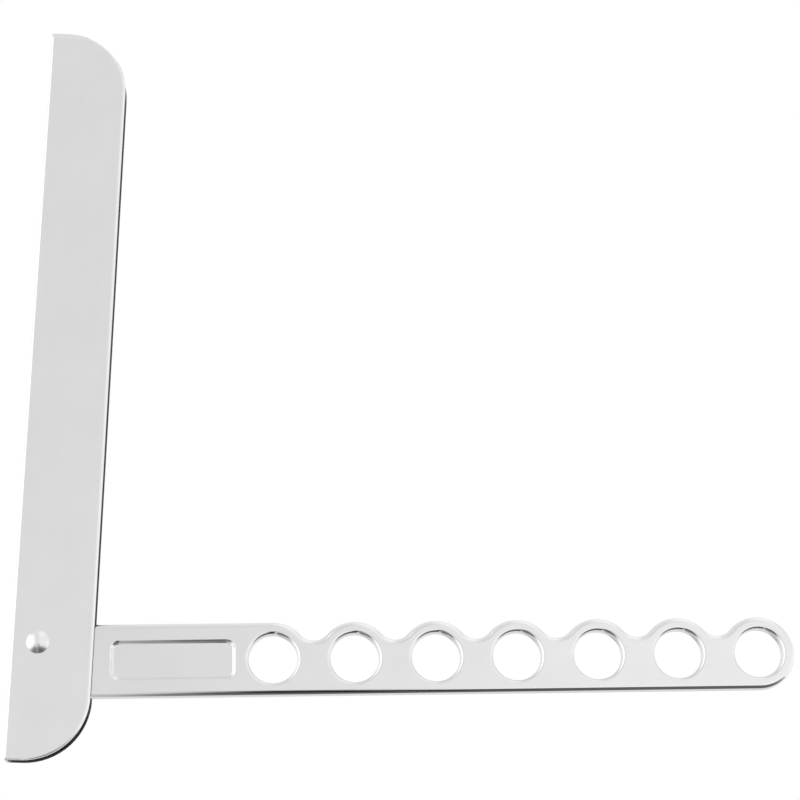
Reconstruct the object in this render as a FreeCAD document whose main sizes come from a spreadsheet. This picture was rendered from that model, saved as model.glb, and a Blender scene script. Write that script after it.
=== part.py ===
import FreeCAD, Part
import math
import os
import Sketcher

# Folding wall hook: a U channel on the wall, and an arm with seven hanger holes that folds up into it.
# Frame: the wall is the plane X = 0, the open arm reaches out along +X, and +Z is up. The origin is
# the middle of the channel's back face. Lengths are in millimetres and angles in degrees.

# Driving dimensions: alias, value, meaning
SIZES = [
    ("channel_high", 311.7, "height of the channel"),
    ("corner_rad", 25.9, "radius of the cheeks' rounded front corners"),
    ("channel_thick", 1.5, "thickness of the channel's walls"),
    ("back_corner_rad", 1.0, "outer radius of the channel's two long back corners"),
    ("inner_corner_rad", 0.4, "inner radius of those corners"),
    ("cheek_edge_rad", 0.55, "rounding of the channel's outer edges"),
    ("bevel_high", 2.4, "height of the bevel on top of each cheek"),
    ("bevel_deep", 0.75, "depth of that bevel at the top edge"),
    ("pivot_from_wall", 10.6, "pivot centre to the wall"),
    ("pivot_from_bottom", 47.05, "pivot centre to the channel's bottom end"),
    ("arm_raise", 2.43, "how far the open arm rises above square"),
    ("arm_thick", 6.2, "thickness of the arm"),
    ("hole_rad", 9.85, "radius of a hanger hole"),
    ("ring_wall", 5.05, "width of the metal round each hanger hole"),
    ("hole_pitch", 33.0, "distance between hanger holes"),
    ("hole_count", 7, "number of hanger holes"),
    ("first_hole", 94.1, "pivot to the first hanger hole, along the arm"),
    ("tail_shoulder", 1.5, "tail's radius less the top edge's height above the pivot"),
    ("arm_proud", 0.15, "how far the folded arm stands proud of the cheeks"),
    ("valley_rad", 7.0, "radius of the hollow between two rings"),
    ("tail_corner_rad", 2.8, "rounding of the tail's two corners"),
    ("arm_edge_rad", 2.2, "rounding of the arm's outer edges"),
    ("lip_rad", 1.4, "rounding of the lips of the hanger holes"),
    ("panel_long", 50.1, "length of the sunk panel at the arm's face"),
    ("panel_high", 15.9, "height of the sunk panel at the arm's face"),
    ("panel_deep", 1.2, "depth of the sunk panel"),
    ("panel_slope", 42.0, "lean of the panel's walls, which open outwards"),
    ("panel_corner_rad", 3.5, "corner radius of the sunk panel at the arm's face"),
    ("panel_rim_rad", 0.5, "rounding at the top of the panel's wall"),
    ("panel_floor_rad", 0.5, "rounding at the foot of the panel's wall"),
    ("panel_to_hole", 40.3, "middle of the sunk panel to the first hanger hole"),
    ("rivet_rad", 2.5, "radius of the rivet's shank"),
    ("head_rad", 4.6, "radius of the rivet's heads"),
    ("dome_high", 1.9, "height of the dome on each head"),
    ("head_rim", 0.35, "height of the straight rim under each dome"),
    ("turning_gap", 0.06, "radial clearance round the rivet's shank"),
    ("spacer_rad", 6.5, "outer radius of each spacer"),
    ("spacer_thick", 1.3, "thickness of each spacer"),
    ("side_gap", 0.1, "clearance between the arm and each spacer"),
    ("stop_gap", 0.05, "clearance between the arm's tail and the web when open"),
    ("screw_hole_rad", 2.25, "radius of the two screw holes in the web"),
    ("screw_from_end", 13.0, "least distance of a screw hole from an end of the channel"),
]

# Sizes worked out from the driving ones: alias, formula, meaning
DERIVED = [
    ("slot_wide", "arm_thick + 2 * (side_gap + spacer_thick)", "clear width inside the channel"),
    ("channel_wide", "slot_wide + 2 * channel_thick", "outside width of the channel"),
    ("pivot_up", "pivot_from_bottom - channel_high / 2", "pivot centre above the origin"),
    ("bore_rad", "rivet_rad + turning_gap", "radius of the bores round the rivet"),
    ("tail_rad", "pivot_from_wall - channel_thick - stop_gap", "reach of the tail behind the pivot"),
    ("ring_rad", "hole_rad + ring_wall", "outer radius round each hanger hole, half the arm's width"),
    ("pivot_rise", "ring_rad - tail_rad + tail_shoulder", "pivot above the arm's centre line"),
    ("channel_deep", "pivot_from_wall + pivot_rise + ring_rad - arm_proud", "depth of the channel"),
    ("low_screw_z", "screw_from_end - channel_high / 2", "lower screw hole above the origin"),
    ("folding_length", "channel_high - pivot_from_bottom - screw_from_end", "pivot to the screws' limit"),
    ("top_screw_valley", "floor((folding_length - first_hole) / hole_pitch + 0.5)",
     "number of the hollow that the upper screw faces"),
    ("panel_start", "first_hole - panel_to_hole - panel_long / 2", "pivot to the sunk panel"),
    ("valley_middle", "first_hole + (top_screw_valley - 0.5) * hole_pitch", "pivot to that hollow"),
    ("top_screw_z", "pivot_up + valley_middle", "upper screw hole above the origin"),
]

UP = FreeCAD.Vector(0, 0, 1)
SAME = 1e-4

# How a sketch numbers the points of a line or arc, its own two axes and its origin
START, END, CENTRE = range(1, 4)
X_AXIS = -1
Y_AXIS = X_AXIS - 1
ORIGIN_POINT = (X_AXIS, START)

doc = FreeCAD.newDocument("folding_wall_hook")
sheet = doc.addObject("Spreadsheet::Sheet", "Dims")


def fill_sheet():
    rows = [(alias, str(value), meaning) for alias, value, meaning in SIZES]
    rows += [(alias, "=" + formula, meaning) for alias, formula, meaning in DERIVED]
    for row, (alias, cell, meaning) in enumerate(rows, start=1):
        sheet.set("A%d" % row, meaning)
        sheet.set("B%d" % row, cell)
        sheet.setAlias("B%d" % row, alias)
    doc.recompute()


def size(alias):
    return float(getattr(sheet, alias))


# Sketches

def new_body(label):
    body = doc.addObject("PartDesign::Body", label)
    body.Label = label
    return body


def new_sketch(body, plane_role, name):
    sketch = body.newObject("Sketcher::SketchObject", name)
    planes = [item for item in body.Origin.OriginFeatures if item.Role == plane_role]
    sketch.AttachmentSupport = [(planes[0], "")]
    sketch.MapMode = "FlatFace"
    return sketch


def point(x, y):
    return FreeCAD.Vector(x, y, 0)


def add_line(sketch, start, end):
    return sketch.addGeometry(Part.LineSegment(start, end), False)


def add_circle(sketch, centre, radius):
    return sketch.addGeometry(Part.Circle(centre, UP, radius), False)


def add_arc(sketch, centre, radius, first_angle, last_angle):
    circle = Part.Circle(centre, UP, radius)
    return sketch.addGeometry(Part.ArcOfCircle(circle, first_angle, last_angle), False)


def relate(sketch, kind, *geometry):
    sketch.addConstraint(Sketcher.Constraint(kind, *geometry))


def measure(sketch, kind, geometry, formula):
    value = float(sheet.evalExpression(formula))
    if kind == "Angle":
        value = math.radians(value)
        formula = "(" + formula + ") * 1 deg"
    index = sketch.addConstraint(Sketcher.Constraint(kind, *geometry, value))
    sketch.setExpression("Constraints[%d]" % index, formula)


# Features

def add_feature(body, kind, name, **settings):
    made = body.newObject("PartDesign::" + kind, name)
    for key, value in settings.items():
        setattr(made, key, value)
    body.Tip = made
    doc.recompute()
    return made


def cut_through(body, sketch, name):
    return add_feature(body, "Pocket", name, Profile=sketch, Type="ThroughAll", SideType="Symmetric")


def round_edges(body, base, wanted, name, radius_alias):
    edges = enumerate(base.Shape.Edges, start=1)
    names = ["Edge%d" % number for number, edge in edges if wanted(edge)]
    fillet = add_feature(body, "Fillet", name, Base=(base, names), Radius=size(radius_alias))
    fillet.setExpression("Radius", "Dims." + radius_alias)
    doc.recompute()
    return fillet


def repeat_along_x(body, sketch, original, name, spacing, count):
    pattern = add_feature(body, "LinearPattern", name, Originals=[original], Mode="Spacing")
    pattern.Direction = (sketch, ["H_Axis"])
    pattern.setExpression("Offset", spacing)
    pattern.setExpression("Occurrences", count)
    doc.recompute()
    return pattern


def upright_at(edge, x, half_wide):
    # a straight edge along Z at this x, and this far from the middle plane
    box = edge.BoundBox
    at_x = abs(box.XMin - x) < SAME and abs(box.XMax - x) < SAME
    at_side = abs(abs(box.YMin) - half_wide) < SAME and box.YLength < SAME
    return at_x and at_side


def on_side(edge, half_wide):
    # an edge that lies flat in one of the two planes this far from the middle plane
    box = edge.BoundBox
    return abs(abs(box.YMin) - half_wide) < SAME and box.YLength < SAME


def at_pivot(item, y_formula):
    item.setExpression("Placement.Base.x", "Dims.pivot_from_wall")
    item.setExpression("Placement.Base.y", y_formula)
    item.setExpression("Placement.Base.z", "Dims.pivot_up")


# The channel: one piece of U section, with rounded front corners

def draw_channel_side(sketch):
    half = size("channel_high") / 2
    deep = size("channel_deep")
    radius = size("corner_rad")
    arc_x = deep - radius
    arc_z = half - radius
    back = add_line(sketch, point(0, -half), point(0, half))
    top = add_line(sketch, point(0, half), point(arc_x, half))
    top_arc = add_arc(sketch, point(arc_x, arc_z), radius, 0, math.pi / 2)
    front = add_line(sketch, point(deep, arc_z), point(deep, -arc_z))
    low_arc = add_arc(sketch, point(arc_x, -arc_z), radius, 1.5 * math.pi, 2 * math.pi)
    bottom = add_line(sketch, point(arc_x, -half), point(0, -half))
    relate(sketch, "Coincident", back, END, top, START)
    relate(sketch, "Tangent", top, END, top_arc, END)
    relate(sketch, "Tangent", top_arc, START, front, START)
    relate(sketch, "Tangent", front, END, low_arc, END)
    relate(sketch, "Tangent", low_arc, START, bottom, START)
    relate(sketch, "Coincident", bottom, END, back, START)
    relate(sketch, "Horizontal", top)
    relate(sketch, "Vertical", front)
    relate(sketch, "Horizontal", bottom)
    relate(sketch, "PointOnObject", back, START, Y_AXIS)
    relate(sketch, "Symmetric", back, START, back, END, *ORIGIN_POINT)
    relate(sketch, "Equal", top_arc, low_arc)
    measure(sketch, "Radius", (top_arc,), "Dims.corner_rad")
    measure(sketch, "Distance", (back,), "Dims.channel_high")
    measure(sketch, "DistanceX", (*ORIGIN_POINT, front, START), "Dims.channel_deep")


def draw_slot(sketch):
    web = size("channel_thick")
    half = size("slot_wide") / 2
    mouth = web + size("channel_deep")
    floor = add_line(sketch, point(web, half), point(web, -half))
    near_wall = add_line(sketch, point(web, -half), point(mouth, -half))
    front = add_line(sketch, point(mouth, -half), point(mouth, half))
    far_wall = add_line(sketch, point(mouth, half), point(web, half))
    sides = [floor, near_wall, front, far_wall]
    for side, after in zip(sides, sides[1:] + sides[:1]):
        relate(sketch, "Coincident", side, END, after, START)
    relate(sketch, "Horizontal", near_wall)
    relate(sketch, "Horizontal", far_wall)
    relate(sketch, "Vertical", front)
    relate(sketch, "Symmetric", floor, START, floor, END, X_AXIS)
    measure(sketch, "Distance", (floor,), "Dims.slot_wide")
    measure(sketch, "DistanceX", (*ORIGIN_POINT, floor, START), "Dims.channel_thick")
    measure(sketch, "Distance", (near_wall,), "Dims.channel_deep")


def draw_bevel(sketch):
    # a wedge over the outer top corner of the near cheek
    side = -size("channel_wide") / 2
    top = size("channel_high") / 2
    low = top - size("bevel_high")
    foot = point(side, low)
    head = point(side + size("bevel_deep"), top)
    margin = size("bevel_high")
    corners = [foot, head, point(head.x, top + margin), point(side - margin, top + margin)]
    corners.append(point(side - margin, low))
    lines = [add_line(sketch, a, b) for a, b in zip(corners, corners[1:] + corners[:1])]
    slope, inner, over, outer, under = lines
    for edge, after in zip(lines, lines[1:] + lines[:1]):
        relate(sketch, "Coincident", edge, END, after, START)
    relate(sketch, "Vertical", inner)
    relate(sketch, "Horizontal", over)
    relate(sketch, "Vertical", outer)
    relate(sketch, "Horizontal", under)
    measure(sketch, "DistanceX", (slope, START, *ORIGIN_POINT), "Dims.channel_wide / 2")
    measure(sketch, "DistanceY", (*ORIGIN_POINT, slope, END), "Dims.channel_high / 2")
    measure(sketch, "DistanceY", (slope, START, slope, END), "Dims.bevel_high")
    measure(sketch, "DistanceX", (slope, START, slope, END), "Dims.bevel_deep")
    measure(sketch, "Distance", (under,), "Dims.bevel_high")
    measure(sketch, "Distance", (inner,), "Dims.bevel_high")


def draw_screw_holes(sketch):
    for height in ("low_screw_z", "top_screw_z"):
        hole = add_circle(sketch, point(0, size(height)), size("screw_hole_rad"))
        relate(sketch, "PointOnObject", hole, CENTRE, Y_AXIS)
        measure(sketch, "Radius", (hole,), "Dims.screw_hole_rad")
        measure(sketch, "DistanceY", (*ORIGIN_POINT, hole, CENTRE), "Dims." + height)


def draw_pivot_hole(sketch):
    hole = add_circle(sketch, point(size("pivot_from_wall"), size("pivot_up")), size("bore_rad"))
    measure(sketch, "Radius", (hole,), "Dims.bore_rad")
    measure(sketch, "DistanceX", (*ORIGIN_POINT, hole, CENTRE), "Dims.pivot_from_wall")
    measure(sketch, "DistanceY", (*ORIGIN_POINT, hole, CENTRE), "Dims.pivot_up")


def make_channel():
    body = new_body("wall_channel")
    side = new_sketch(body, "XZ_Plane", "ChannelSide")
    draw_channel_side(side)
    block = add_feature(body, "Pad", "ChannelBlock", Profile=side, SideType="Symmetric")
    block.setExpression("Length", "Dims.channel_wide")
    doc.recompute()

    half_wide = size("channel_wide") / 2
    half_slot = size("slot_wide") / 2

    def back_corner(edge):
        return upright_at(edge, 0, half_wide)

    round_edges(body, block, back_corner, "BackCorners", "back_corner_rad")

    slot = new_sketch(body, "XY_Plane", "SlotSection")
    draw_slot(slot)
    slotted = cut_through(body, slot, "Slot")

    def slot_corner(edge):
        return upright_at(edge, size("channel_thick"), half_slot)

    smoothed = round_edges(body, slotted, slot_corner, "InnerCorners", "inner_corner_rad")

    def outer_free_edge(edge):
        at_back = upright_at(edge, size("back_corner_rad"), half_wide)
        return on_side(edge, half_wide) and not at_back

    round_edges(body, smoothed, outer_free_edge, "CheekEdges", "cheek_edge_rad")

    wedge = new_sketch(body, "YZ_Plane", "BevelSection")
    draw_bevel(wedge)
    near_bevel = cut_through(body, wedge, "NearBevel")
    planes = [item for item in body.Origin.OriginFeatures if item.Role == "XZ_Plane"]
    add_feature(body, "Mirrored", "FarBevel", Originals=[near_bevel], MirrorPlane=(planes[0], [""]))

    # this cut is centred on the wall plane, so it reaches twice the web's thickness into the channel
    screws = new_sketch(body, "YZ_Plane", "ScrewHoles")
    draw_screw_holes(screws)
    drilled = add_feature(body, "Pocket", "ScrewHolesCut", Profile=screws, SideType="Symmetric")
    drilled.setExpression("Length", "Dims.channel_thick * 4")

    pivot = new_sketch(body, "XZ_Plane", "PivotHole")
    draw_pivot_hole(pivot)
    cut_through(body, pivot, "PivotHoleCut")
    return body


# The arm: a cast bar with hanger holes, modelled about its pivot and then raised to its open angle

def draw_arm_side(sketch):
    rise = size("pivot_rise")
    ring = size("ring_rad")
    hollow = size("valley_rad")
    pitch = size("hole_pitch")
    first = size("first_hole")
    count = int(size("hole_count"))
    tail = size("tail_rad")
    raised = math.radians(size("arm_raise"))
    top = ring - rise
    bottom = -ring - rise
    # the angle, seen from a ring's centre, at which the ring meets a hollow
    meet = math.acos(pitch / 2 / (ring + hollow))
    hollow_up = (ring + hollow) * math.sin(meet) - rise
    ring_x = [first + pitch * number for number in range(count)]

    rings = []
    for number, x in enumerate(ring_x):
        first_angle = meet if number < count - 1 else -math.pi / 2
        last_angle = math.pi - meet if number > 0 else math.pi / 2
        rings.append(add_arc(sketch, point(x, -rise), ring, first_angle, last_angle))
    hollows = []
    for x in ring_x[:-1]:
        centre = point(x + pitch / 2, hollow_up)
        hollows.append(add_arc(sketch, centre, hollow, math.pi + meet, 2 * math.pi - meet))

    tail_top = math.pi - math.asin(top / tail)
    tail_back = math.pi - raised
    back_touch = point(tail * math.cos(tail_back), tail * math.sin(tail_back))
    back_drop = (back_touch.y - bottom) * math.tan(raised)
    corner = point(back_touch.x - back_drop, bottom)
    top_line = add_line(sketch, point(first, top), point(tail * math.cos(tail_top), top))
    tail_arc = add_arc(sketch, point(0, 0), tail, tail_top, tail_back)
    back_line = add_line(sketch, back_touch, corner)
    bottom_line = add_line(sketch, corner, point(ring_x[-1], bottom))

    relate(sketch, "Tangent", bottom_line, END, rings[-1], START)
    relate(sketch, "Tangent", rings[0], END, top_line, START)
    relate(sketch, "Coincident", top_line, END, tail_arc, START)
    relate(sketch, "Tangent", tail_arc, END, back_line, START)
    relate(sketch, "Coincident", back_line, END, bottom_line, START)
    relate(sketch, "Coincident", tail_arc, CENTRE, *ORIGIN_POINT)
    relate(sketch, "Horizontal", bottom_line)
    relate(sketch, "Horizontal", top_line)
    for number, valley in enumerate(hollows):
        relate(sketch, "Tangent", valley, START, rings[number], START)
        relate(sketch, "Tangent", valley, END, rings[number + 1], END)
        relate(sketch, "Horizontal", rings[number], CENTRE, rings[number + 1], CENTRE)
        spacing = (rings[number], CENTRE, rings[number + 1], CENTRE)
        measure(sketch, "DistanceX", spacing, "Dims.hole_pitch")
        measure(sketch, "Radius", (valley,), "Dims.valley_rad")
    for ring_arc in rings[:-1]:
        relate(sketch, "Equal", ring_arc, rings[-1])
    measure(sketch, "Radius", (rings[-1],), "Dims.ring_rad")
    measure(sketch, "Radius", (tail_arc,), "Dims.tail_rad")
    measure(sketch, "DistanceX", (*ORIGIN_POINT, rings[0], CENTRE), "Dims.first_hole")
    measure(sketch, "DistanceY", (rings[0], CENTRE, *ORIGIN_POINT), "Dims.pivot_rise")
    measure(sketch, "Angle", (back_line,), "-90 - Dims.arm_raise")


def draw_first_hole(sketch):
    hole = add_circle(sketch, point(size("first_hole"), -size("pivot_rise")), size("hole_rad"))
    measure(sketch, "Radius", (hole,), "Dims.hole_rad")
    measure(sketch, "DistanceX", (*ORIGIN_POINT, hole, CENTRE), "Dims.first_hole")
    measure(sketch, "DistanceY", (hole, CENTRE, *ORIGIN_POINT), "Dims.pivot_rise")


def draw_arm_bore(sketch):
    bore = add_circle(sketch, point(0, 0), size("bore_rad"))
    relate(sketch, "Coincident", bore, CENTRE, *ORIGIN_POINT)
    measure(sketch, "Radius", (bore,), "Dims.bore_rad")


def draw_panel(sketch):
    # a rectangle with four rounded corners, centred on the arm's centre line
    radius = size("panel_corner_rad")
    half_long = size("panel_long") / 2
    half_high = size("panel_high") / 2
    mid_x = size("first_hole") - size("panel_to_hole")
    mid_y = -size("pivot_rise")
    arcs = []
    for quarter, (right, upper) in enumerate([(1, 1), (-1, 1), (-1, -1), (1, -1)]):
        centre = point(mid_x + right * (half_long - radius), mid_y + upper * (half_high - radius))
        arcs.append(add_arc(sketch, centre, radius, quarter * math.pi / 2, (quarter + 1) * math.pi / 2))
    sides = []
    for quarter in range(4):
        after = (quarter + 1) % 4
        start = sketch.getPoint(arcs[quarter], END)
        end = sketch.getPoint(arcs[after], START)
        sides.append(add_line(sketch, start, end))
        relate(sketch, "Tangent", arcs[quarter], END, sides[quarter], START)
        relate(sketch, "Tangent", sides[quarter], END, arcs[after], START)
    upper, left, lower, right = sides
    for side in (upper, lower):
        relate(sketch, "Horizontal", side)
    for side in (left, right):
        relate(sketch, "Vertical", side)
    for arc in arcs[1:]:
        relate(sketch, "Equal", arc, arcs[0])
    measure(sketch, "Radius", (arcs[0],), "Dims.panel_corner_rad")
    measure(sketch, "DistanceX", (left, START, right, START), "Dims.panel_long")
    measure(sketch, "DistanceY", (lower, START, upper, START), "Dims.panel_high")
    measure(sketch, "DistanceX", (*ORIGIN_POINT, left, START), "Dims.panel_start")
    measure(sketch, "DistanceY", (lower, START, *ORIGIN_POINT), "Dims.pivot_rise + Dims.panel_high / 2")


def make_arm():
    body = new_body("swing_arm")
    side = new_sketch(body, "XZ_Plane", "ArmSide")
    draw_arm_side(side)
    bar = add_feature(body, "Pad", "ArmBar", Profile=side, SideType="Symmetric")
    bar.setExpression("Length", "Dims.arm_thick")
    doc.recompute()

    half_thick = size("arm_thick") / 2
    top = size("ring_rad") - size("pivot_rise")
    bottom = -size("ring_rad") - size("pivot_rise")

    def tail_corner(edge):
        across = edge.BoundBox.YLength > size("arm_thick") - SAME
        on_top = edge.BoundBox.ZMin > top - SAME
        at_foot = edge.BoundBox.ZMax < bottom + SAME
        return across and edge.BoundBox.XMax < 0 and (on_top or at_foot)

    bar = round_edges(body, bar, tail_corner, "TailCorners", "tail_corner_rad")

    def on_a_face(edge):
        return on_side(edge, half_thick)

    round_edges(body, bar, on_a_face, "ArmEdges", "arm_edge_rad")

    first_hole = new_sketch(body, "XZ_Plane", "HangerHole")
    draw_first_hole(first_hole)
    hole = cut_through(body, first_hole, "HangerHoleCut")
    holes = repeat_along_x(body, first_hole, hole, "HangerHoles", "Dims.hole_pitch", "Dims.hole_count")

    def hole_lip(edge):
        is_round = isinstance(edge.Curve, Part.Circle)
        return on_a_face(edge) and is_round and abs(edge.Curve.Radius - size("hole_rad")) < SAME

    round_edges(body, holes, hole_lip, "HoleLips", "lip_rad")

    bore = new_sketch(body, "XZ_Plane", "ArmBore")
    draw_arm_bore(bore)
    cut_through(body, bore, "ArmBoreCut")

    outline = new_sketch(body, "XZ_Plane", "PanelOutline")
    outline.setExpression("AttachmentOffset.Base.z", "Dims.arm_thick / 2")
    draw_panel(outline)
    panel = add_feature(body, "Pocket", "Panel", Profile=outline)
    panel.setExpression("Length", "Dims.panel_deep")
    panel.setExpression("TaperAngle", "-Dims.panel_slope * 1 deg")
    doc.recompute()

    panel_left = size("panel_start")
    panel_right = panel_left + size("panel_long")

    def panel_rim(edge):
        box = edge.BoundBox
        over_panel = box.XMin > panel_left - SAME and box.XMax < panel_right + SAME
        return on_a_face(edge) and over_panel

    def panel_foot(edge):
        return on_side(edge, half_thick - size("panel_deep"))

    panel = round_edges(body, panel, panel_rim, "PanelRim", "panel_rim_rad")
    round_edges(body, panel, panel_foot, "PanelFoot", "panel_floor_rad")

    tip_up = FreeCAD.Rotation(FreeCAD.Vector(0, -1, 0), size("arm_raise"))
    body.Placement = FreeCAD.Placement(FreeCAD.Vector(0, 0, 0), tip_up)
    at_pivot(body, "0")
    body.setExpression("Placement.Rotation.Angle", "Dims.arm_raise * 1 deg")
    return body


# The rivet: a turned shank with a domed head at each end

def draw_rivet_half(sketch):
    shank = size("rivet_rad")
    head = size("head_rad")
    dome = size("dome_high")
    under = size("channel_wide") / 2
    rim = under + size("head_rim")
    tip = rim + dome
    curve = (head * head + dome * dome) / (2 * dome)
    spread = math.asin(head / curve)
    quarter = math.pi / 2
    axis = add_line(sketch, point(0, tip), point(0, -tip))
    low_dome = add_arc(sketch, point(0, curve - tip), curve, -quarter, spread - quarter)
    low_rim = add_line(sketch, point(head, -rim), point(head, -under))
    low_seat = add_line(sketch, point(head, -under), point(shank, -under))
    side = add_line(sketch, point(shank, -under), point(shank, under))
    top_seat = add_line(sketch, point(shank, under), point(head, under))
    top_rim = add_line(sketch, point(head, under), point(head, rim))
    top_dome = add_arc(sketch, point(0, tip - curve), curve, quarter - spread, quarter)
    chain = [axis, low_dome, low_rim, low_seat, side, top_seat, top_rim, top_dome]
    for piece, after in zip(chain, chain[1:] + chain[:1]):
        relate(sketch, "Coincident", piece, END, after, START)
    relate(sketch, "PointOnObject", low_dome, CENTRE, Y_AXIS)
    relate(sketch, "PointOnObject", top_dome, CENTRE, Y_AXIS)
    relate(sketch, "Symmetric", axis, START, axis, END, *ORIGIN_POINT)
    relate(sketch, "PointOnObject", axis, START, Y_AXIS)
    relate(sketch, "Symmetric", low_seat, END, top_seat, START, X_AXIS)
    relate(sketch, "Symmetric", low_rim, START, top_rim, END, X_AXIS)
    for seat in (low_seat, top_seat):
        relate(sketch, "Horizontal", seat)
    for upright in (low_rim, top_rim):
        relate(sketch, "Vertical", upright)
    measure(sketch, "Distance", (side,), "Dims.channel_wide")
    measure(sketch, "DistanceX", (*ORIGIN_POINT, side, START), "Dims.rivet_rad")
    measure(sketch, "DistanceX", (*ORIGIN_POINT, top_rim, END), "Dims.head_rad")
    measure(sketch, "Distance", (top_rim,), "Dims.head_rim")
    measure(sketch, "DistanceY", (top_rim, END, axis, START), "Dims.dome_high")


def make_rivet():
    body = new_body("pivot_rivet")
    half = new_sketch(body, "XY_Plane", "RivetHalf")
    draw_rivet_half(half)
    turned = add_feature(body, "Revolution", "RivetTurned", Profile=half, Angle=360)
    turned.ReferenceAxis = (half, ["V_Axis"])
    at_pivot(body, "0")
    return body


# The spacers: a washer on the rivet at each side of the arm

def make_spacer(label, y_formula):
    body = new_body(label)
    ring = new_sketch(body, "XZ_Plane", "SpacerRing")
    outer = add_circle(ring, point(0, 0), size("spacer_rad"))
    inner = add_circle(ring, point(0, 0), size("bore_rad"))
    for circle, alias in ((outer, "spacer_rad"), (inner, "bore_rad")):
        relate(ring, "Coincident", circle, CENTRE, *ORIGIN_POINT)
        measure(ring, "Radius", (circle,), "Dims." + alias)
    disc = add_feature(body, "Pad", "SpacerDisc", Profile=ring)
    disc.setExpression("Length", "Dims.spacer_thick")
    at_pivot(body, y_formula)
    return body


def check_document():
    for item in doc.Objects:
        if "Invalid" in item.State or "Error" in item.State:
            raise RuntimeError("%s: %s" % (item.Label, item.State))


def check_shape(body):
    shape = body.Shape
    if shape.isNull() or not shape.isValid() or len(shape.Solids) != 1:
        raise RuntimeError("%s has no single valid solid" % body.Label)


fill_sheet()
bodies = [
    make_channel(),
    make_arm(),
    make_rivet(),
    make_spacer("spacer_near", "Dims.spacer_thick - Dims.slot_wide / 2"),
    make_spacer("spacer_far", "Dims.slot_wide / 2"),
]
doc.recompute()
check_document()
for body in bodies:
    check_shape(body)

os.makedirs("parts", exist_ok=True)
for body in bodies:
    body.Shape.exportStep("parts/" + body.Label + ".step")
    box = body.Shape.BoundBox
    print("%s: volume %.1f mm3, box %s" % (body.Label, body.Shape.Volume, box))
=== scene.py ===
import math

import bpy
from mathutils import Matrix, Vector


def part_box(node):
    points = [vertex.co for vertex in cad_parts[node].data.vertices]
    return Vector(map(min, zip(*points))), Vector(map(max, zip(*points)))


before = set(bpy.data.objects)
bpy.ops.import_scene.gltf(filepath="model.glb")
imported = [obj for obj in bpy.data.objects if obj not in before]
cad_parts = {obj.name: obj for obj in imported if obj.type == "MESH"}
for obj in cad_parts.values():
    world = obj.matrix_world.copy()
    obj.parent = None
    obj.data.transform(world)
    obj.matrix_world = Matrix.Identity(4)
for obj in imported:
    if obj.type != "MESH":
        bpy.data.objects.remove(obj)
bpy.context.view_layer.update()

# The camera stands where the photograph was taken from: low, and looking up at the hook
CAMERA_AT = Vector((0.1102, -0.9249, -0.2591))
CAMERA_AIM = Vector((0.1539, 0.0, -0.0013))
CAMERA_ROLL_DEG = 1.285
CAMERA_LENS = 103.38
CAMERA_NEAREST = 0.01
SENSOR_WIDTH = 36.0


# Nodes

NOISE_ROUGHNESS = 0.6
NOISE_LOW = 0.3
NOISE_HIGH = 0.7
# Where new stops of a ramp start, before each is put in its place
RAMP_MIDDLE = 0.5


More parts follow.
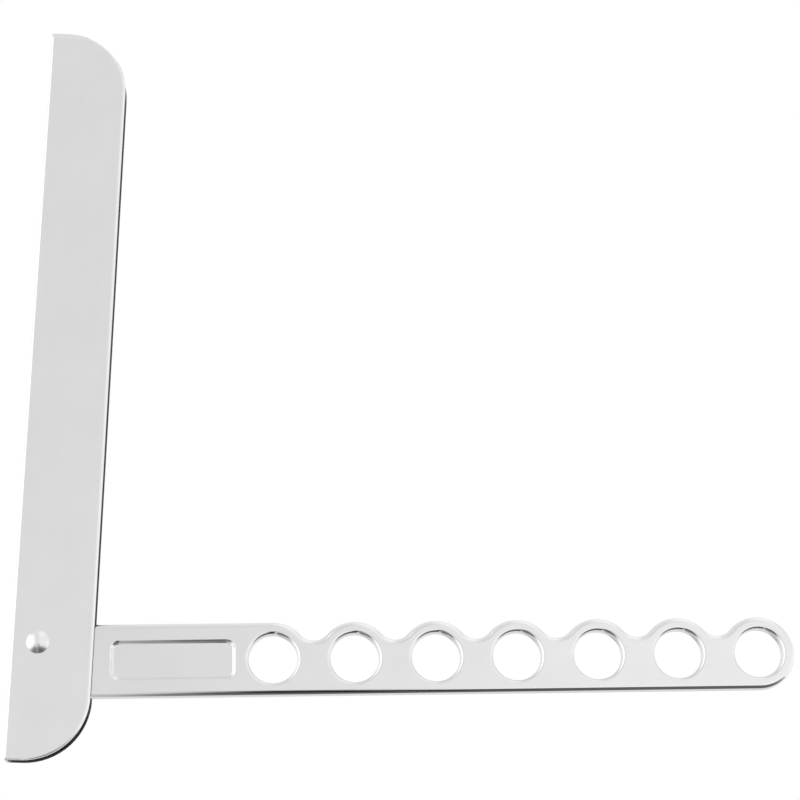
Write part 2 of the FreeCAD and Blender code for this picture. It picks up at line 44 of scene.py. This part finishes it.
class Graph:
    # the nodes of one material or world, and short ways to add to them

    def __init__(self, tree):
        self.nodes = tree.nodes
        self.links = tree.links

    def put(self, value, socket):
        # a link from another node's socket, or else a constant
        if isinstance(value, bpy.types.NodeSocket):
            self.links.new(value, socket)
        else:
            socket.default_value = value

    def calculate(self, operation, first, second=0.0):
        node = self.nodes.new("ShaderNodeMath")
        node.operation = operation
        self.put(first, node.inputs[0])
        self.put(second, node.inputs[1])
        return node.outputs["Value"]

    def plus(self, first, second):
        return self.calculate("ADD", first, second)

    def minus(self, first, second):
        return self.calculate("SUBTRACT", first, second)

    def times(self, first, second):
        return self.calculate("MULTIPLY", first, second)

    def larger(self, first, second):
        return self.calculate("MAXIMUM", first, second)

    def step_up(self, value, low, high):
        # 0 below low, 1 above high, smooth between
        node = self.nodes.new("ShaderNodeMapRange")
        node.interpolation_type = "SMOOTHSTEP"
        node.inputs["From Min"].default_value = low
        node.inputs["From Max"].default_value = high
        self.links.new(value, node.inputs["Value"])
        return node.outputs["Result"]

    def spread(self, value, low, high):
        # noise keeps to its middle values, which are spread here from low to high
        node = self.nodes.new("ShaderNodeMapRange")
        node.inputs["From Min"].default_value = NOISE_LOW
        node.inputs["From Max"].default_value = NOISE_HIGH
        node.inputs["To Min"].default_value = low
        node.inputs["To Max"].default_value = high
        self.links.new(value, node.inputs["Value"])
        return node.outputs["Result"]

    def mix(self, factor, first, second, kind="FLOAT"):
        node = self.nodes.new("ShaderNodeMix")
        node.data_type = kind
        self.put(factor, node.inputs["Factor"])
        self.put(first, node.inputs["A"])
        self.put(second, node.inputs["B"])
        return node.outputs["Result"]

    def tint(self, factor, dark, light):
        # a mix of two colours
        return self.mix(factor, dark, light, "RGBA")

    def noise(self, scale, stretch, detail):
        # noise in object space, stretched along one axis by a mapping
        place = self.nodes.new("ShaderNodeTexCoord")
        mapping = self.nodes.new("ShaderNodeMapping")
        mapping.inputs["Scale"].default_value = stretch
        texture = self.nodes.new("ShaderNodeTexNoise")
        texture.inputs["Scale"].default_value = scale
        texture.inputs["Detail"].default_value = detail
        texture.inputs["Roughness"].default_value = NOISE_ROUGHNESS
        self.links.new(place.outputs["Object"], mapping.inputs["Vector"])
        self.links.new(mapping.outputs["Vector"], texture.inputs["Vector"])
        return texture.outputs["Fac"]

    def split(self, vector):
        node = self.nodes.new("ShaderNodeSeparateXYZ")
        self.links.new(vector, node.inputs["Vector"])
        return node.outputs["X"], node.outputs["Y"], node.outputs["Z"]

    def parts_of(self, output):
        # the X, Y and Z of a place or a normal in the object's own axes
        return self.split(self.nodes.new("ShaderNodeTexCoord").outputs[output])

    def sizes_of(self, output):
        # the same without their signs
        positive = self.nodes.new("ShaderNodeVectorMath")
        positive.operation = "ABSOLUTE"
        self.links.new(self.nodes.new("ShaderNodeTexCoord").outputs[output], positive.inputs[0])
        return self.split(positive.outputs["Vector"])

    def bump(self, height, distance, strength=1.0):
        node = self.nodes.new("ShaderNodeBump")
        node.inputs["Strength"].default_value = strength
        node.inputs["Distance"].default_value = distance
        self.links.new(height, node.inputs["Height"])
        return node

    def tone_curve(self, value, steps):
        # a smooth curve through the steps, each a value between -1 and 1 and its tone
        share = self.nodes.new("ShaderNodeMapRange")
        share.inputs["From Min"].default_value = -1.0
        self.links.new(value, share.inputs["Value"])
        ramp = self.nodes.new("ShaderNodeValToRGB")
        ramp.color_ramp.interpolation = "EASE"
        stops = ramp.color_ramp.elements
        while len(stops) < len(steps):
            stops.new(RAMP_MIDDLE)
        top = max(tone for _, tone in steps)
        for stop, (place, tone) in zip(stops, steps):
            stop.position = (place + 1) / 2
            stop.color = (tone / top, tone / top, tone / top, 1.0)
        self.links.new(share.outputs["Result"], ramp.inputs["Fac"])
        return self.times(ramp.outputs["Color"], top)


# Materials

GRAIN_SCALE = 900.0
GRAIN_DETAIL = 4.0
GRAIN_DEPTH = 0.000006
GRAIN_BUMP = 0.25
GRAIN_ROUGH = 0.03
CLOUD_SCALE = 60.0
CLOUD_DETAIL = 3.0
CLOUD_SHARE = 0.97
# Where a face counts as flat, and where as an outer face and not a cut edge, by its normal
FLAT_FROM = 0.98
FLAT_FULL = 0.9995
FACE_FROM = 0.1
FACE_FULL = 0.35
CUT_SHARE = 0.86
CUT_ROUGH = 0.28
# The painted shade inside the channel's slot, a darker share of the metal's colour, and how far past
# the slot's half width it ends and the colour turns bright
SLOT_SHADE_SHARE = 0.5
LIP_FROM = 0.0001
LIP_FULL = 0.0006
# How the polished cheeks roll over near their outline: the radius of its round corners, the width of
# the roll, its slope at the outline, and a bump distance that turns the face inwards
CHEEK_CORNER = 0.0259
ROLL_WIDE = 0.0018
ROLL_SLOPE = 0.36
ROLL_INWARDS = -1.0

# Which way the grain runs
ALONG_Z = (1.0, 1.0, 0.02)
ALONG_X = (0.02, 1.0, 1.0)
EVENLY = (1.0, 1.0, 1.0)

NYLON_TONE = (0.80, 0.80, 0.77)
NYLON_SCATTER = 0.1
NYLON_SCATTER_DEPTH = 0.002
NYLON_GRAIN = 900.0
NYLON_DETAIL = 2.0
NYLON_SMOOTHEST = 0.4
NYLON_ROUGHEST = 0.55


def new_material(name):
    material = bpy.data.materials.new(name)
    material.use_nodes = True
    return material, Graph(material.node_tree), material.node_tree.nodes["Principled BSDF"]


def shaded(tone, share=1.0):
    return (*(share * value for value in tone), 1.0)


def roll_depth(graph):
    # how far a cheek's face has fallen away, from the distance past the centres of its round corners
    along, _, _ = graph.parts_of("Object")
    _, _, height = graph.sizes_of("Object")
    _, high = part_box("wall_channel")
    squares = []
    for place, end in ((along, high[0]), (height, high[2])):
        past = graph.larger(graph.minus(place, end - CHEEK_CORNER), 0.0)
        squares.append(graph.calculate("POWER", past, 2.0))
    reach = graph.calculate("SQRT", graph.plus(*squares))
    rolled = graph.larger(graph.minus(reach, CHEEK_CORNER - ROLL_WIDE), 0.0)
    return graph.times(graph.calculate("POWER", rolled, 3.0), ROLL_SLOPE / (3 * ROLL_WIDE ** 2))


def satin_metal(name, tone, satin, polish, grain, slot_half=None):
    # Satin flat faces with fine grain and faint clouding, and smoother polished edges. Where a slot's
    # half width is given, the metal in the slot gets painted shade, a darker base colour, and the
    # cheeks outside it roll over.
    material, graph, shader = new_material(name)
    shader.inputs["Metallic"].default_value = 1.0
    normal_x, normal_y, _ = graph.sizes_of("Normal")
    facing = graph.larger(normal_x, normal_y)
    flat = graph.step_up(facing, FLAT_FROM, FLAT_FULL)
    face = graph.step_up(facing if slot_half else normal_y, FACE_FROM, FACE_FULL)
    lines = graph.noise(GRAIN_SCALE, grain, GRAIN_DETAIL)
    clouds = graph.spread(graph.noise(CLOUD_SCALE, EVENLY, CLOUD_DETAIL), 0.0, 1.0)
    surface = graph.tint(clouds, shaded(tone, CLOUD_SHARE), shaded(tone))
    surface = graph.tint(face, shaded(tone, CUT_SHARE), surface)
    rough = graph.larger(graph.mix(flat, polish, satin), graph.mix(face, CUT_ROUGH, 0.0))
    rough = graph.plus(rough, graph.spread(lines, -GRAIN_ROUGH, GRAIN_ROUGH))
    relief = graph.bump(graph.times(lines, flat), GRAIN_DEPTH, GRAIN_BUMP)
    if slot_half:
        _, away, _ = graph.sizes_of("Object")
        cheek = graph.step_up(away, slot_half + LIP_FROM, slot_half + LIP_FULL)
        # painted shade: the metal inside the slot is given a darker base colour
        surface = graph.tint(cheek, shaded(tone, SLOT_SHADE_SHARE), surface)
        fall = graph.times(roll_depth(graph), cheek)
        roll = graph.bump(graph.times(fall, flat), ROLL_INWARDS)
        graph.links.new(roll.outputs["Normal"], relief.inputs["Normal"])
    graph.links.new(surface, shader.inputs["Base Color"])
    graph.links.new(rough, shader.inputs["Roughness"])
    graph.links.new(relief.outputs["Normal"], shader.inputs["Normal"])
    return material


def nylon(name):
    material, graph, shader = new_material(name)
    shader.inputs["Base Color"].default_value = shaded(NYLON_TONE)
    shader.inputs["Subsurface Weight"].default_value = NYLON_SCATTER
    shader.inputs["Subsurface Radius"].default_value = (NYLON_SCATTER_DEPTH,) * 3
    grain = graph.noise(NYLON_GRAIN, EVENLY, NYLON_DETAIL)
    rough = graph.spread(grain, NYLON_SMOOTHEST, NYLON_ROUGHEST)
    graph.links.new(rough, shader.inputs["Roughness"])
    return material


def dress(piece, material):
    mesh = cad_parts[piece].data
    mesh.materials.clear()
    mesh.materials.append(material)


# The far spacer lies against the inside of its cheek
SLOT_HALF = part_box("spacer_far")[1][1]
CHANNEL = satin_metal("channel_satin", tone=(0.875, 0.875, 0.88), satin=0.22, polish=0.12,
                      grain=ALONG_Z, slot_half=SLOT_HALF)
ARM = satin_metal("arm_satin", tone=(0.85, 0.85, 0.855), satin=0.18, polish=0.10, grain=ALONG_X)
RIVET = satin_metal("rivet_bright", tone=(0.87, 0.87, 0.875), satin=0.30, polish=0.30, grain=EVENLY)
NYLON = nylon("spacer_nylon")

dress("wall_channel", CHANNEL)
dress("swing_arm", ARM)
dress("pivot_rivet", RIVET)
dress("spacer_near", NYLON)
dress("spacer_far", NYLON)


# The studio: a pale floor, a white room whose walls differ in tone, a soft box and a black card

# The middle of the hook, over the floor's centre and where the light points
MIDDLE = Vector((0.15, 0.0, 0.0))
FLOOR_Z = -0.62
FLOOR_SIZE = 12.0
FLOOR_TONE = (0.86, 0.86, 0.86)
FLOOR_ROUGH = 0.7
KEY_AT = Vector((-1.2, -1.0, 1.6))
KEY_SIZE = 1.2
KEY_POWER = 12.0

# The black card: its edges, how soft they are, how its right edge spreads downwards, where it
# stands, and the size and tone of the sheet
FLAG_LEFT = 0.0
FLAG_SOFT_LEFT = 0.13
FLAG_RIGHT = 0.21
FLAG_SOFT_RIGHT = 0.15
FLAG_SPREAD = 0.25
FLAG_TOP = -0.14
FLAG_SOFT_TOP = 0.14
FLAG_Y = -0.95
FLAG_WIDE = 1.6
FLAG_HIGH = 1.4
FLAG_TONE = (0.01, 0.01, 0.01)

# Tones of the room in front, by side: -1 is towards the wall end, 1 towards the arm's tip
TONE_IN_FRONT = [(-1.0, 0.80), (-0.5, 0.80), (-0.06, 0.795), (0.02, 0.90), (0.08, 0.913),
                 (0.14, 0.983), (0.2, 0.98), (0.35, 1.03), (0.7, 0.95), (1.0, 1.08)]
# What they are multiplied by, by height: the sine of the angle above the horizon
TONE_BY_HEIGHT = [(-1.0, 1.03), (0.0, 1.03), (0.15, 1.02), (0.3, 0.958), (0.36, 0.957),
                  (0.43, 0.985), (0.7, 0.98), (1.0, 1.12)]
# Tones of the dark low part of the room, by side
TONE_LOW = [(-1.0, 0.6), (-0.7, 0.45), (-0.5, 0.15), (-0.115, 0.2), (-0.085, 0.9), (-0.045, 0.75),
            (0.0, 0.15), (0.08, 0.12), (0.14, 0.12), (0.22, 0.13), (0.4, 0.14), (0.7, 0.2),
            (0.85, 0.4), (1.0, 0.6)]
# Tones of the backdrop behind, by height
TONE_BEHIND = [(-1.0, 0.7), (-0.8, 0.85), (-0.3, 0.92), (-0.1, 0.95), (0.0, 1.0), (0.45, 1.0),
               (0.65, 0.88), (0.9, 0.92), (1.0, 1.05)]
# Where the room turns dark, by depth: the sine of the angle below the horizon
LOW_FROM = 0.50
LOW_FULL = 0.70
# How much sooner it does, by side
LOW_REACH = [(-1.0, 0.0), (-0.6, 0.0), (-0.35, 0.28), (-0.2, 0.36), (-0.13, 0.6), (-0.105, 0.6),
             (-0.088, 0.0), (0.0, 0.0), (0.2, 0.16), (0.5, 0.38), (1.0, 0.6)]
# It stays light above the first of these depths, whatever the side, and is held back down to the second
HELD_FROM = 0.42
HELD_UNTIL = 0.50
# Where the backdrop takes over from the walls, and how far it comes forward at the horizon
BACKDROP_FROM = 0.05
BACKDROP_FULL = 0.25
BACKDROP_AT_LEVEL = 0.15
# A shaded patch of the backdrop, low and a little to the left, and its soft edges by side and depth
PATCH_SHADE = 0.6
PATCH_RIGHT = (0.09, 0.2)
PATCH_LEFT = (0.3, 0.45)
PATCH_TOP = (0.03, 0.2)
# The glow on the wall at the left: where it is, its strength, and its edges as cosines
GLOW_AT = Vector((-0.86, -0.38, 0.12)).normalized()
GLOW_STRENGTH = 0.6
GLOW_WIDE = 0.60
GLOW_NARROW = 0.95


def sheet(name, corners):
    mesh = bpy.data.meshes.new(name)
    mesh.from_pydata(corners, [], [(0, 1, 2, 3)])
    panel = bpy.data.objects.new(name, mesh)
    bpy.context.scene.collection.objects.link(panel)
    return panel


def add_floor():
    half = FLOOR_SIZE / 2
    floor = sheet("floor", [(-half, -half, 0), (half, -half, 0), (half, half, 0), (-half, half, 0)])
    floor.location = (MIDDLE.x, MIDDLE.y, FLOOR_Z)
    material, _, shader = new_material("floor_paint")
    shader.inputs["Base Color"].default_value = shaded(FLOOR_TONE)
    shader.inputs["Roughness"].default_value = FLOOR_ROUGH
    floor.data.materials.append(material)
    floor.visible_glossy = False


def flag_cover(graph):
    # how much of the light the black card stops, from nothing at its edges to all of it
    across, _, up = graph.parts_of("Object")
    down = graph.minus(FLAG_TOP, up)
    right = graph.plus(graph.times(down, FLAG_SPREAD), FLAG_RIGHT)
    from_left = graph.step_up(across, FLAG_LEFT, FLAG_LEFT + FLAG_SOFT_LEFT)
    from_right = graph.step_up(graph.minus(right, across), 0.0, FLAG_SOFT_RIGHT)
    from_top = graph.step_up(down, 0.0, FLAG_SOFT_TOP)
    return graph.times(graph.times(from_left, from_right), from_top)


def add_flag():
    # a black card by the camera, which only reflections see
    left, right = FLAG_LEFT, FLAG_LEFT + FLAG_WIDE
    low, top = FLAG_TOP - FLAG_HIGH, FLAG_TOP
    corners = [(left, FLAG_Y, low), (right, FLAG_Y, low), (right, FLAG_Y, top), (left, FLAG_Y, top)]
    flag = sheet("flag", corners)
    material, graph, shader = new_material("flag_black")
    shader.inputs["Base Color"].default_value = shaded(FLAG_TONE)
    shader.inputs["Roughness"].default_value = 1.0
    shader.inputs["Specular IOR Level"].default_value = 0.0
    graph.links.new(flag_cover(graph), shader.inputs["Alpha"])
    flag.data.materials.append(material)
    flag.visible_camera = False
    flag.visible_diffuse = False
    flag.visible_shadow = False


def add_key():
    # a soft box, up at the left and in front, which reflections don't see
    light = bpy.data.lights.new("key_box", "AREA")
    light.shape = "RECTANGLE"
    light.size = KEY_SIZE
    light.size_y = KEY_SIZE
    light.energy = KEY_POWER
    box = bpy.data.objects.new("key_box", light)
    bpy.context.scene.collection.objects.link(box)
    box.location = KEY_AT
    box.rotation_euler = (MIDDLE - KEY_AT).to_track_quat("-Z", "Y").to_euler()
    box.visible_glossy = False


def front_walls(graph, side, height):
    by_side = graph.tone_curve(side, TONE_IN_FRONT)
    return graph.times(by_side, graph.tone_curve(height, TONE_BY_HEIGHT))


def low_part(graph, side, depth):
    # how far a direction lies in the dark low part
    reach = graph.plus(depth, graph.tone_curve(side, LOW_REACH))
    dark = graph.step_up(reach, LOW_FROM, LOW_FULL)
    return graph.times(graph.step_up(depth, HELD_FROM, HELD_UNTIL), dark)


def backdrop_part(graph, back, depth):
    # how far a direction lies in the backdrop, which comes forward under the hook
    forward = graph.times(graph.minus(1.0, depth), BACKDROP_AT_LEVEL)
    return graph.step_up(graph.minus(back, forward), BACKDROP_FROM, BACKDROP_FULL)


def patch_light(graph, side, depth):
    # the share of light that the shaded patch leaves
    left = graph.times(side, -1.0)
    across = graph.minus(graph.step_up(left, *PATCH_RIGHT), graph.step_up(left, *PATCH_LEFT))
    patch = graph.times(across, graph.step_up(depth, *PATCH_TOP))
    return graph.minus(1.0, graph.times(patch, PATCH_SHADE))


def glow(graph, direction):
    towards = graph.nodes.new("ShaderNodeVectorMath")
    towards.operation = "DOT_PRODUCT"
    graph.links.new(direction, towards.inputs[0])
    towards.inputs[1].default_value = GLOW_AT
    inside = graph.step_up(towards.outputs["Value"], GLOW_WIDE, GLOW_NARROW)
    return graph.times(inside, GLOW_STRENGTH)


def add_room():
    world = bpy.data.worlds.new("room")
    world.use_nodes = True
    graph = Graph(world.node_tree)
    direction = graph.nodes.new("ShaderNodeTexCoord").outputs["Generated"]
    side, back, height = graph.split(direction)
    depth = graph.larger(graph.times(height, -1.0), 0.0)
    low = graph.tone_curve(side, TONE_LOW)
    walls = graph.mix(low_part(graph, side, depth), front_walls(graph, side, height), low)
    backdrop = graph.times(graph.tone_curve(height, TONE_BEHIND), patch_light(graph, side, depth))
    tone = graph.mix(backdrop_part(graph, back, depth), walls, backdrop)
    tone = graph.plus(tone, glow(graph, direction))
    graph.links.new(tone, graph.nodes["Background"].inputs["Color"])
    bpy.context.scene.world = world


def add_camera():
    data = bpy.data.cameras.new("camera")
    data.lens = CAMERA_LENS
    data.sensor_width = SENSOR_WIDTH
    data.clip_start = CAMERA_NEAREST
    camera = bpy.data.objects.new("camera", data)
    bpy.context.scene.collection.objects.link(camera)
    looking = (CAMERA_AIM - CAMERA_AT).to_track_quat("-Z", "Y").to_matrix().to_4x4()
    roll = Matrix.Rotation(math.radians(CAMERA_ROLL_DEG), 4, "Z")
    camera.matrix_world = Matrix.Translation(CAMERA_AT) @ looking @ roll
    bpy.context.scene.camera = camera


add_floor()
add_flag()
add_key()
add_room()
add_camera()
bpy.context.scene.view_settings.view_transform = "Standard"
